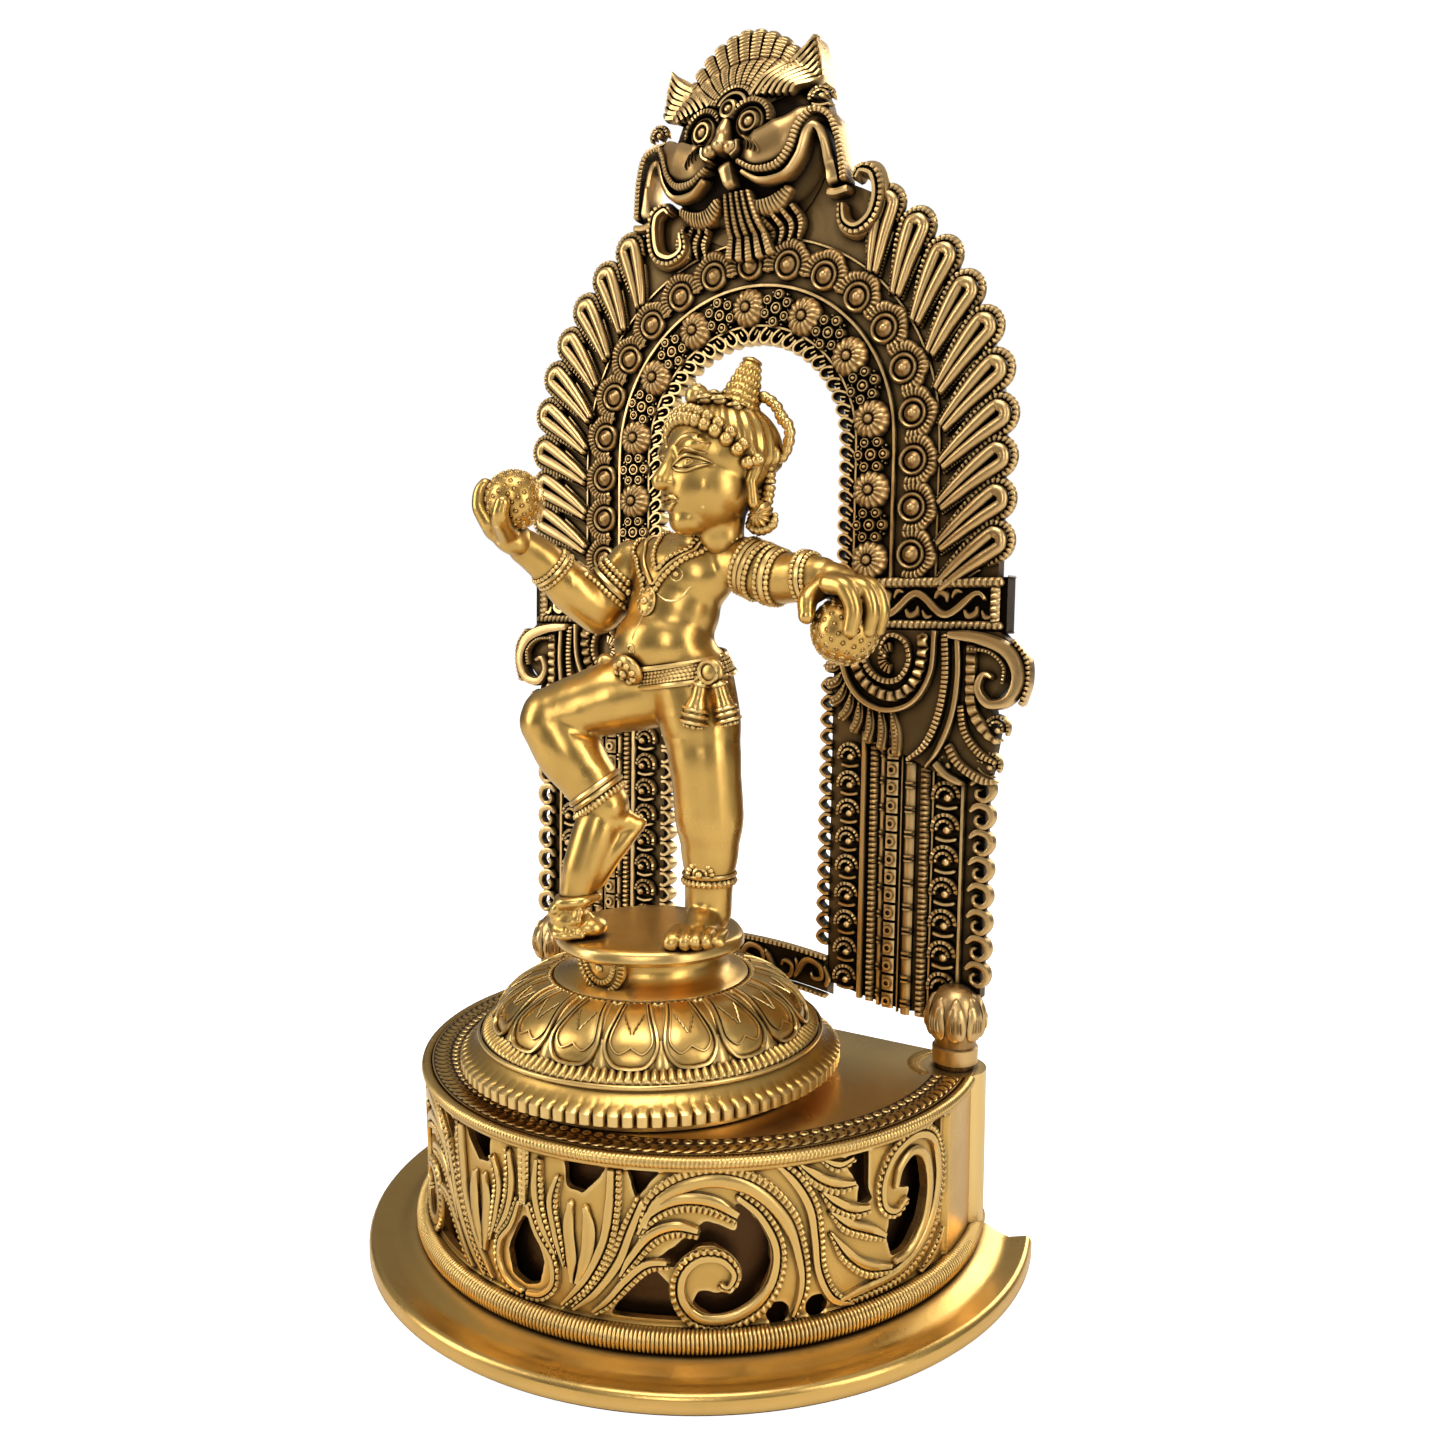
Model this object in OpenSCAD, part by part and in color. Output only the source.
/* [Base] */
// Height of the whole statue, from the flange's underside to the crest's tip
total_h = 380; // [370:1:400]
// Radius of the foot flange
flange_r = 105; // [98:0.5:120]
// Thickness of the foot flange
flange_t = 6; // [4:0.5:8]
// Outer radius of the pierced wall
wall_r = 87; // [84:0.5:90]
// Thickness of the pierced wall
wall_t = 3.2; // [2.5:0.1:4]
// How far the flat back lies behind the centre of the round front
back_d = 30; // [26:0.5:34]
// Height of the deck's top face
deck_z = 58; // [50:1:70]
// Thickness of the deck
deck_t = 3.5; // [2.5:0.5:5]
// How far the deck stands proud of the wall
deck_lip = 1; // [0.5:0.5:2]
// Thickness of the ticked cord round the wall's foot
foot_cord_d = 7; // [5:0.5:8]
// Number of openings in each row of the pierced wall
wall_openings = 11; // [7:1:13]

/* [Sockets and pegs] */
// Distance of each peg from the middle of the arch
peg_x = 78; // [74:0.5:80]
// Radius of the pegs under the arch
peg_r = 6; // [5:0.1:7]
// Radial clearance between a peg and its socket
peg_play = 0.06; // [0.02:0.01:0.1]
// How far a peg reaches down into its socket
peg_depth = 14; // [10:1:20]
// Wall thickness of a socket post
post_wall = 3.4; // [2.5:0.1:5]
// Room left under a seated peg
socket_floor = 2; // [1:0.5:4]

/* [Lotus pedestal] */
// Radius of the scalloped rim
rim_r = 57; // [50:0.5:58]
// Height of the pedestal, from the deck to the top of the round slab
pedestal_h = 43; // [38:1:50]
// Radius of the round slab that the figure stands on
slab_r = 28; // [24:0.5:32]
// Thickness of the round slab
slab_t = 5; // [4:0.5:7]
// How far the pedestal's axis lies behind the middle of the base plan
pedestal_y = 6.5; // [0:0.5:8]
// Radius of the locating stub on the deck
stub_r = 9; // [7:0.5:12]
// Height of the locating stub
stub_h = 5; // [3:0.5:8]
// Radial clearance round the locating stub
stub_play = 0.08; // [0.03:0.01:0.1]
// Number of petals on the lotus
petals = 17; // [12:1:22]

/* [Figure] */
// Height of the figure from its standing sole to its topknot
figure_h = 165; // [150:1:172]
// Radius of the sweet in the raised hand
ball_right_r = 8.6; // [7:0.1:10]
// Radius of the sweet in the reaching hand
ball_left_r = 9.4; // [7:0.1:10]

/* [Arch] */
// Thickness of the arch's plate
plate_t = 4.5; // [3.5:0.5:6]
// How far the relief stands in front of the plate
relief_t = 2.5; // [1.5:0.5:4]
// Backward lean of the arch, in degrees
arch_lean = 1.5; // [0:0.5:3]
// Radius of the opening's round head
arch_in_r = 37; // [33:0.5:40]
// Outer radius of the arch's round head
arch_out_r = 89; // [85:0.5:92]
// Height of the centre of the round head
spring_z = 247; // [240:1:255]
// Height of the top of the carved blocks
block_top = 205.5; // [200:0.5:210]
// Height of the carved blocks
block_h = 16; // [12:0.5:20]
// Width from one block's outer end to the other's
block_span = 178; // [170:1:184]
// Distance between the inner edges of the two pillars
pillar_gap = 62; // [56:1:70]
// Distance between the outer edges of the two pillars
pillar_span = 170; // [160:1:176]
// Height of the pillars' lower ends above the deck
pillar_lift = 16; // [14:0.5:20]
// Height of the low crossbar
bar_h = 15; // [12:0.5:20]
// Number of rosettes round the head
rosettes = 19; // [15:1:23]
// Number of round bosses in the next ring
bosses = 19; // [15:1:23]
// Number of feathers in the outer ring
feathers = 27; // [21:1:31]

/* [Hidden] */
$fn = 96;
// where the arch's lean starts, and how far its front face lies behind the round front's centre
lean_z = deck_z + 2;
arch_y0 = 24;
arch_top = lean_z + (total_h - lean_z) / cos(arch_lean);
pillar_z = deck_z + pillar_lift;
top_back = arch_y0 + plate_t * cos(arch_lean) + (arch_top - lean_z) * sin(arch_lean);
// the round front's centre, placed so that the whole is centred on the origin
plan_y = (flange_r - top_back) / 2;
back_y = plan_y + back_d;
arch_y = plan_y + arch_y0;
peg_y = arch_y - relief_t;
post_r = peg_r + peg_play + post_wall;
// width of the cord border on the deck's edge
cord_w = 2;
wall_foot = flange_t;
wall_top = deck_z - deck_t;
slab_z = deck_z + pedestal_h;
brass = [0.80, 0.60, 0.24];
dark_brass = [0.45, 0.31, 0.14];

// ---------- shared shapes ----------

// The base's plan: a round front cut off by a flat back
module plan(r) {
    intersection() {
        circle(r = r);
        translate([-r, -r])
            square([2 * r, r + back_d]);
    }
}

// Part of the plan left between two radii, with a strip along the back
module plan_ring(r_out, r_in, strip) {
    difference() {
        plan(r_out);
        intersection() {
            circle(r = r_in);
            translate([-r_in, -r_in])
                square([2 * r_in, r_in + back_d - strip]);
        }
    }
}

module at_plan(z) {
    translate([0, plan_y, z])
        children();
}

// Room for the two socket posts
module post_room() {
    for (side = [-1, 1])
        translate([side * peg_x, peg_y, 0])
            cylinder(r = post_r, h = deck_z + 1);
}

module at_pedestal(z) {
    translate([0, pedestal_y, z])
        children();
}

// A rounded bar from one point to another
module limb(p, q, r1, r2) {
    hull() {
        translate(p)
            sphere(r = r1, $fn = 20);
        translate(q)
            sphere(r = r2, $fn = 20);
    }
}

// A ring of round section round an axis from p towards q
module band(p, q, r, w) {
    d = q - p;
    translate(p)
        rotate([0, acos(d[2] / norm(d)), atan2(d[1], d[0])])
            rotate_extrude()
                translate([r, 0])
                    circle(r = w, $fn = 24);
}

// Lays a drawing of the arch's front view upright, h thick, its back at depth y
module upright(h, y = 0) {
    translate([0, y, 0])
        rotate([90, 0, 0])
            linear_extrude(h)
                children();
}

// The arch's own frame: x across, y into the plate, z up along the leaning plate
module leaned() {
    translate([0, arch_y, lean_z])
        rotate([-arch_lean, 0, 0])
            translate([0, 0, -lean_z])
                children();
}

module mirrored(side) {
    if (side > 0)
        children();
    else
        mirror([1, 0, 0])
            children();
}

// Outline of the arch's opening head grown to radius r: two straight legs and a half circle
module stilted(r) {
    translate([0, spring_z])
        circle(r = r);
    translate([-r, block_top])
        square([2 * r, spring_z - block_top]);
}

module stilted_ring(r_out, r_in) {
    difference() {
        intersection() {
            stilted(r_out);
            translate([-r_out, block_top])
                square([2 * r_out, spring_z - block_top + r_out]);
        }
        translate([0, -1])
            stilted(r_in);
    }
}

// Puts n copies of a shape, pointing outwards along +x, evenly along the legs and the head
module along_arch(r, n) {
    leg = spring_z - block_top;
    total = 2 * leg + PI * r;
    for (i = [0 : n - 1]) {
        s = (i + 0.5) / n * total;
        a = (s < leg) ? 0 : (s > total - leg) ? 180 : (s - leg) / r * 180 / PI;
        drop = (s < leg) ? leg - s : (s > total - leg) ? s - total + leg : 0;
        translate([r * cos(a), spring_z + r * sin(a) - drop])
            rotate(a)
                children();
    }
}

// ---------- base ----------

// Thick foot plate with a stepped lip, open in the middle under the hollow base
module foot_flange() {
    lip_z = flange_t * 0.7;
    lip_step = 3;
    inner_r = wall_r - 12;
    strip = 12;
    color(brass)
        at_plan(0) {
            linear_extrude(lip_z)
                plan_ring(flange_r, inner_r, strip);
            translate([0, 0, lip_z])
                linear_extrude(flange_t - lip_z)
                    plan_ring(flange_r - lip_step, inner_r, strip);
        }
}

module foot_cord() {
    color(brass)
        difference() {
            at_plan(flange_t)
                intersection() {
                    rotate_extrude()
                        translate([wall_r + foot_cord_d / 2, foot_cord_d / 2])
                            circle(d = foot_cord_d, $fn = 32);
                    translate([-flange_r, -flange_r, 0])
                        cube([2 * flange_r, flange_r + back_d, foot_cord_d]);
                }
            post_room();
        }
}

// Round wall with two staggered rows of eight-sided openings
module pierced_wall() {
    wall_h = wall_top - wall_foot;
    row_low = wall_foot + wall_h * 0.32;
    row_high = wall_foot + wall_h * 0.7;
    open_step = 150 / wall_openings;
    open_low_r = wall_h * 0.16;
    open_high_r = wall_h * 0.11;
    color(brass)
        difference() {
            at_plan(wall_foot)
                linear_extrude(wall_h)
                    difference() {
                        intersection() {
                            circle(r = wall_r);
                            translate([-wall_r, -wall_r])
                                square([2 * wall_r, wall_r + back_d - wall_t]);
                        }
                        circle(r = wall_r - wall_t);
                    }
            for (i = [0 : wall_openings - 1]) {
                at_plan(row_low)
                    rotate([90, 0, (i - (wall_openings - 1) / 2) * open_step])
                        cylinder(r = open_low_r, h = flange_r, $fn = 8);
                at_plan(row_high)
                    rotate([90, 0, (i - (wall_openings - 1) / 2 + 0.5) * open_step])
                        cylinder(r = open_high_r, h = flange_r, $fn = 8);
            }
            post_room();
        }
}

module back_wall() {
    half = sqrt(wall_r * wall_r - back_d * back_d);
    color(brass)
        difference() {
            translate([-half, back_y - wall_t, wall_foot])
                cube([2 * half, wall_t, wall_top - wall_foot]);
            post_room();
        }
}

module deck_plate() {
    color(brass)
        difference() {
            at_plan(wall_top)
                linear_extrude(deck_t)
                    plan(wall_r - cord_w);
            post_room();
        }
}

module deck_cord() {
    color(brass)
        difference() {
            at_plan(wall_top)
                linear_extrude(deck_t)
                    difference() {
                        plan(wall_r + deck_lip);
                        plan(wall_r - cord_w);
                    }
            post_room();
        }
}

module locating_stub() {
    color(brass)
        at_pedestal(deck_z)
            cylinder(r = stub_r, h = stub_h);
}

// A round tube with a floor, open at the top for a peg
module socket_post(side) {
    floor_z = deck_z - peg_depth - socket_floor;
    color(brass)
        translate([side * peg_x, peg_y, 0])
            difference() {
                translate([0, 0, wall_foot])
                    cylinder(r = post_r, h = deck_z - wall_foot);
                translate([0, 0, floor_z])
                    cylinder(r = peg_r + peg_play, h = deck_z);
            }
}

// ---------- lotus pedestal ----------

rim_low = deck_z + pedestal_h * 0.1;
rim_top = deck_z + pedestal_h * 0.2;
dome_z = deck_z + pedestal_h * 0.33;
dome_top = deck_z + pedestal_h * 0.68;
neck_top = slab_z - slab_t;
foot_r = rim_r - 8;
dome_r = rim_r - 9;
shoulder_r = slab_r + 2;
// room left above the locating stub
stub_room = 1;

// Foot ring, scalloped rim and sloping brim, with a blind round hole over the locating stub
module lotus_rim() {
    scallops = 30;
    color(brass)
        difference() {
            at_pedestal(0)
                rotate_extrude()
                    polygon([
                        [stub_r + stub_play, deck_z], [foot_r, deck_z], [foot_r, rim_low], [rim_r, rim_low],
                        [rim_r, rim_top], [dome_r + 1, dome_z], [0, dome_z],
                        [0, deck_z + stub_h + stub_room], [stub_r + stub_play, deck_z + stub_h + stub_room]
                    ]);
            at_pedestal(rim_low - 1)
                for (i = [0 : scallops - 1])
                    rotate(i * 360 / scallops)
                        translate([rim_r + 0.4, 0, 0])
                            cylinder(r = 1, h = rim_top - rim_low + 2, $fn = 16);
        }
}

module lotus_cord() {
    cord_r = 2;
    color(brass)
        at_pedestal(dome_z)
            rotate_extrude()
                difference() {
                    translate([dome_r - 1, 0])
                        circle(r = cord_r, $fn = 32);
                    translate([0, -2 * cord_r])
                        square([2 * rim_r, 2 * cord_r]);
                }
}

// Domed lotus with a round boss for each petal
module lotus_dome() {
    bulge = 6;
    petal_r = 5.4;
    color(brass)
        at_pedestal(0) {
            rotate_extrude()
                polygon([
                    [0, dome_z], [dome_r - 4, dome_z], [dome_r - 6, dome_z + bulge],
                    [(dome_r + shoulder_r) / 2, dome_z + bulge + 4], [shoulder_r, dome_top], [0, dome_top]
                ]);
            for (i = [0 : petals - 1])
                rotate(i * 360 / petals)
                    translate([dome_r - 10, 0, dome_z + petal_r])
                        sphere(r = petal_r, $fn = 32);
        }
}

module lotus_neck() {
    color(brass)
        at_pedestal(0)
            rotate_extrude()
                polygon([
                    [0, dome_top], [shoulder_r - 1, dome_top], [shoulder_r - 1, dome_top + 2],
                    [slab_r - 8, dome_top + 4], [slab_r - 7, neck_top], [0, neck_top]
                ]);
}

module standing_slab() {
    color(brass)
        at_pedestal(neck_top)
            cylinder(r = slab_r, h = slab_t);
}

// ---------- figure ----------

k = figure_h / 165;
// A point of the figure: x to its left, y to its back, z above the slab
function fig(p) = [p[0] * k, pedestal_y + (p[1] - 6.5) * k, slab_z + p[2] * k];

sole_l = fig([20, 2, 3]);
heel_l = fig([18.5, 11, 4]);
ankle_l = fig([19, 9, 14]);
shin_l = fig([20, 8, 30]);
knee_l = fig([19.5, 7, 50]);
hip_l = fig([14, 8, 74]);
hip_r = fig([-3, 5, 72]);
knee_r = fig([-25, -15, 64]);
calf_r = fig([-17, -11, 53]);
ankle_r = fig([-7, -6, 37]);
heel_r = fig([0, -1, 33]);
ball_of_foot_r = fig([-9, -11, 16]);
toe_r = fig([-13, -15, 8]);
pelvis = fig([6, 7, 76]);
belly = fig([5, 4, 84]);
waist = fig([7, 8, 92]);
chest = fig([11, 8, 106]);
neck = fig([18, 11, 117]);
head = fig([20, 7, 135]);
knot = fig([28, 12, 150]);
knot_tip = fig([31, 14, 164]);
shoulder_r_p = fig([-8, 9, 108]);
elbow_r = fig([-17, 3, 92]);
wrist_r = fig([-23, -11, 108]);
palm_r = fig([-30, -20, 116]);
sweet_r_p = fig([-25, -23, 126]);
shoulder_l_p = fig([29, 11, 108]);
elbow_l = fig([42, 10, 104]);
wrist_l = fig([53, 9, 104]);
palm_l = fig([66, 8, 101]);
sweet_l_p = fig([65, 5, 90]);

module standing_leg() {
    color(brass) {
        limb(sole_l, heel_l, 4.4, 4.4);
        limb(heel_l, ankle_l, 4, 6);
        limb(ankle_l, shin_l, 6, 9);
        limb(shin_l, knee_l, 9, 9.5);
        limb(knee_l, hip_l, 9.5, 12);
        limb(fig([21, -6, 2.6]), sole_l, 2.6, 4.4);
    }
}

// The bent leg, its foot pointing down to a small prop on the slab
module raised_leg() {
    color(brass) {
        limb(hip_r, knee_r, 12, 8);
        limb(knee_r, calf_r, 8, 8.5);
        limb(calf_r, ankle_r, 8.5, 6);
        limb(ankle_r, heel_r, 6, 3.5);
        limb(ankle_r, ball_of_foot_r, 5.5, 5);
        limb(ball_of_foot_r, toe_r, 5, 5);
        limb(toe_r, [toe_r[0], toe_r[1], slab_z + 3], 4, 3);
    }
}

module torso() {
    color(brass) {
        limb(pelvis, belly, 15, 15);
        limb(belly, waist, 14, 13);
        hull() {
            translate(waist)
                sphere(r = 13, $fn = 24);
            translate(chest)
                sphere(r = 14, $fn = 24);
            translate(shoulder_r_p)
                sphere(r = 7, $fn = 24);
            translate(shoulder_l_p)
                sphere(r = 7, $fn = 24);
        }
    }
}

module neck_and_head() {
    color(brass) {
        limb(chest, neck, 9, 7);
        limb(neck, head, 7, 9);
        hull() {
            translate(head)
                sphere(r = 15, $fn = 32);
            translate(head + [-3, -4, -6] * k)
                sphere(r = 11, $fn = 32);
        }
    }
}

module topknot() {
    color(brass) {
        limb(head + [3, 3, 6] * k, knot, 12, 7);
        limb(knot, knot_tip, 7, 2);
    }
}

module hair_loop() {
    color(brass) {
        limb(head + [14, 6, 18] * k, head + [18, 7, 4] * k, 3, 3);
        limb(head + [18, 7, 4] * k, head + [15, 8, -12] * k, 3, 3.4);
    }
}

module arm_right() {
    color(brass) {
        limb(shoulder_r_p, elbow_r, 8, 6.5);
        limb(elbow_r, wrist_r, 6.5, 4.5);
        limb(wrist_r, palm_r, 4.5, 5);
        limb(palm_r, palm_r + [-4, -2, 9] * k, 4, 2.5);
    }
}

module arm_left() {
    color(brass) {
        limb(shoulder_l_p, elbow_l, 8.5, 7.5);
        limb(elbow_l, wrist_l, 7.5, 5.5);
        limb(wrist_l, palm_l, 5.5, 6);
        limb(palm_l, palm_l + [7, -2, -9] * k, 4, 2.5);
    }
}

module sweet_right() {
    color(brass)
        translate(sweet_r_p)
            sphere(r = ball_right_r);
}

module sweet_left() {
    color(brass)
        translate(sweet_l_p)
            sphere(r = ball_left_r);
}

module necklace() {
    color(brass)
        translate(neck + [-2, -1, -5] * k)
            rotate([20, -12, 0])
                rotate_extrude()
                    translate([11, 0])
                        circle(r = 1.6, $fn = 24);
}

module belt() {
    color(brass) {
        band(pelvis + [0, 0, 2], belly + [0, 0, 4], 15.2, 1.8);
        translate(pelvis + [-5, -15, 1] * k)
            rotate([90, 0, -14])
                cylinder(r = 4.4, h = 3, $fn = 48);
    }
}

module sash_tails() {
    color(brass) {
        limb(hip_l + [9, 1, 0] * k, hip_l + [8, -4, -14] * k, 3, 3.4);
        limb(hip_l + [10, 3, 0] * k, hip_l + [14, 3, -13] * k, 3, 3.2);
    }
}

module anklets() {
    color(brass) {
        band(ankle_l, shin_l, 6.6, 1.3);
        band(ankle_r, calf_r, 6.6, 1.3);
        band(calf_r + (ankle_r - calf_r) * 0.75, calf_r, 7, 1.2);
    }
}

module arm_bands() {
    color(brass) {
        band(shoulder_l_p + (elbow_l - shoulder_l_p) * 0.4, elbow_l, 8.6, 1.2);
        band(shoulder_l_p + (elbow_l - shoulder_l_p) * 0.8, elbow_l, 8.2, 1.2);
        band(wrist_l, palm_l, 5.9, 1.2);
        band(shoulder_r_p + (elbow_r - shoulder_r_p) * 0.5, elbow_r, 7.6, 1.2);
        band(wrist_r, elbow_r, 5.1, 1.2);
    }
}

// ---------- arch ----------

module arch_plate() {
    color(dark_brass)
        leaned()
            upright(plate_t, plate_t)
                stilted_ring(arch_out_r - 3, arch_in_r);
}

// Small loops that point into the opening
module arch_fringe() {
    loops = 41;
    color(dark_brass)
        leaned()
            upright(plate_t - 1, plate_t - 1)
                difference() {
                    along_arch(arch_in_r, loops)
                        circle(r = 1.9, $fn = 24);
                    stilted_ring(arch_out_r, arch_in_r);
                }
}

// The two plain raised lines either side of the rosettes
module arch_rims() {
    color(dark_brass)
        leaned()
            upright(relief_t) {
                stilted_ring(arch_in_r + 3.2, arch_in_r + 0.5);
                stilted_ring(arch_in_r + 15.2, arch_in_r + 13.6);
            }
}

module rosette_ring() {
    color(dark_brass)
        leaned()
            upright(relief_t)
                along_arch(arch_in_r + 8.4, rosettes)
                    circle(r = 4.2, $fn = 32);
}

module boss_ring() {
    color(dark_brass)
        leaned() {
            upright(relief_t)
                along_arch(arch_in_r + 21.5, bosses)
                    circle(r = 3.2, $fn = 32);
            upright(relief_t * 0.6)
                along_arch(arch_in_r + 27, bosses)
                    circle(r = 2.1, $fn = 32);
        }
}

module feather_ring() {
    color(dark_brass)
        leaned()
            upright(relief_t) {
                along_arch(arch_out_r - 4.5, feathers)
                    circle(r = 4, $fn = 40);
                along_arch(arch_out_r - 13, feathers)
                    square([13, 4.2], center = true);
            }
}

module block(side) {
    inner = pillar_gap / 2;
    color(dark_brass)
        leaned()
            mirrored(side)
                difference() {
                    translate([inner, -relief_t, block_top - block_h])
                        cube([block_span / 2 - inner, plate_t + relief_t, block_h]);
                    translate([inner + 4, -relief_t - 1, block_top - block_h + 4])
                        cube([block_span / 2 - inner - 8, 2, block_h - 8]);
                }
}

// Curled bracket under a block: an outer spiral and a fan of hanging plumes
module scroll_bracket(side) {
    curl_x = block_span / 2 - 1;
    curl_z = block_top - block_h - 9;
    fan_x = (pillar_gap / 2 + curl_x) / 2;
    color(dark_brass)
        leaned()
            mirrored(side) {
                upright(relief_t + 1)
                    difference() {
                        union() {
                            translate([fan_x, block_top - block_h - 20])
                                circle(r = 19.5);
                            translate([fan_x + 14, block_top - block_h - 28])
                                circle(r = 14);
                        }
                        translate([0, block_top - block_h])
                            square([200, 40]);
                    }
                upright(plate_t + relief_t, plate_t)
                    difference() {
                        translate([curl_x, curl_z])
                            circle(r = 8.9);
                        translate([curl_x - 1, curl_z - 1])
                            circle(r = 3.2);
                        translate([0, curl_z - 20])
                            square([pillar_span / 2, 40]);
                    }
            }
}

// Flat slab with upright ribs on its front
module pillar(side) {
    inner = pillar_gap / 2;
    outer = pillar_span / 2;
    top = block_top - block_h;
    rib_top = top - 48;
    ribs = 7;
    step = (outer - inner) / ribs;
    color(dark_brass)
        leaned()
            mirrored(side) {
                translate([inner, 0, pillar_z])
                    cube([outer - inner, plate_t, top - pillar_z]);
                for (i = [0 : ribs - 1])
                    translate([inner + (i + 0.15) * step, -relief_t * 0.8, pillar_z + 1])
                        cube([step * 0.7, relief_t * 0.8, rib_top - pillar_z]);
            }
}

// Low bar between the pillars, arched below so that it clears the lotus
module crossbar() {
    bar_drop = 2;
    bar_rise = 3;
    bar_arc_r = 100;
    color(dark_brass)
        leaned()
            upright(plate_t, plate_t)
                difference() {
                    translate([-pillar_gap / 2, pillar_z - bar_drop])
                        square([pillar_gap, bar_h]);
                    translate([0, pillar_z + bar_rise - bar_arc_r])
                        circle(r = bar_arc_r);
                }
}

// Lotus bud on a pillar's outer end, drawn out below into the round peg that stands in the socket
module peg(side) {
    bud_foot = pillar_z - 7;
    bud_h = 16;
    bud_r = peg_r + 1.8;
    color(dark_brass)
        translate([side * peg_x, peg_y, 0]) {
            translate([0, 0, deck_z - peg_depth])
                cylinder(r = peg_r, h = bud_foot - deck_z + peg_depth);
            translate([0, 0, bud_foot])
                cylinder(r1 = peg_r, r2 = bud_r, h = bud_h / 3);
            translate([0, 0, bud_foot + bud_h / 3])
                cylinder(r = bud_r, h = bud_h / 3);
            translate([0, 0, bud_foot + 2 * bud_h / 3])
                cylinder(r1 = bud_r, r2 = peg_r - 2, h = bud_h / 3);
        }
}

// ---------- lion mask ----------

mask_z = spring_z + arch_out_r + 6;
mask_t = relief_t + 5;

module lion_mask() {
    color(dark_brass)
        leaned() {
            upright(plate_t + mask_t - 2, plate_t)
                difference() {
                    union() {
                        translate([0, mask_z - 2])
                            circle(r = 20);
                        for (s = [-1, 1])
                            translate([s * 17, mask_z - 8])
                                circle(r = 14);
                    }
                    stilted(arch_out_r - 3 + 0.02);
                }
            for (s = [-1, 1])
                translate([s * 9, -mask_t + 2, mask_z + 3])
                    rotate([90, 0, 0])
                        cylinder(r = 4.6, h = 2.5);
            translate([0, -mask_t + 1, mask_z - 7])
                sphere(r = 5);
        }
}

// Fan of rays and the two leaf shaped horns
module mask_crest() {
    rays = 9;
    root_z = mask_z + 8;
    ray_l = arch_top - root_z - 3.2;
    color(dark_brass)
        leaned()
            upright(plate_t, plate_t)
                difference() {
                    union() {
                        for (i = [0 : rays - 1])
                            translate([0, root_z])
                                rotate((i - (rays - 1) / 2) * 15)
                                    translate([0, ray_l])
                                        circle(r = 3.2, $fn = 32);
                        intersection() {
                            translate([0, root_z])
                                circle(r = ray_l);
                            translate([-ray_l, root_z + 2])
                                square([2 * ray_l, ray_l]);
                        }
                    }
                    translate([0, mask_z - 2])
                        circle(r = 20);
                }
}

// Hooked curls that hang beside the mask, and the beard below it
module mask_side_hooks() {
    color(dark_brass)
        leaned() {
            for (s = [-1, 1])
                upright(relief_t + 1)
                    translate([s * 33, mask_z - 20])
                        difference() {
                            circle(r = 7);
                            circle(r = 3.2);
                        }
            upright(relief_t + 1)
                translate([-4.5, mask_z - 36])
                    square([9, 15]);
        }
}

foot_flange();
foot_cord();
pierced_wall();
back_wall();
deck_plate();
deck_cord();
locating_stub();
socket_post(-1);  // socket_post_left
socket_post(1);  // socket_post_right
lotus_rim();
lotus_cord();
lotus_dome();
lotus_neck();
standing_slab();
standing_leg();
raised_leg();
torso();
neck_and_head();
topknot();
hair_loop();
arm_right();
arm_left();
sweet_right();
sweet_left();
necklace();
belt();
sash_tails();
anklets();
arm_bands();
arch_plate();
arch_fringe();
arch_rims();
rosette_ring();
boss_ring();
feather_ring();
block(-1);  // block_left
block(1);  // block_right
scroll_bracket(-1);  // scroll_bracket_left
scroll_bracket(1);  // scroll_bracket_right
pillar(-1);  // pillar_left
pillar(1);  // pillar_right
crossbar();
peg(-1);  // peg_left
peg(1);  // peg_right
lion_mask();
mask_crest();
mask_side_hooks();
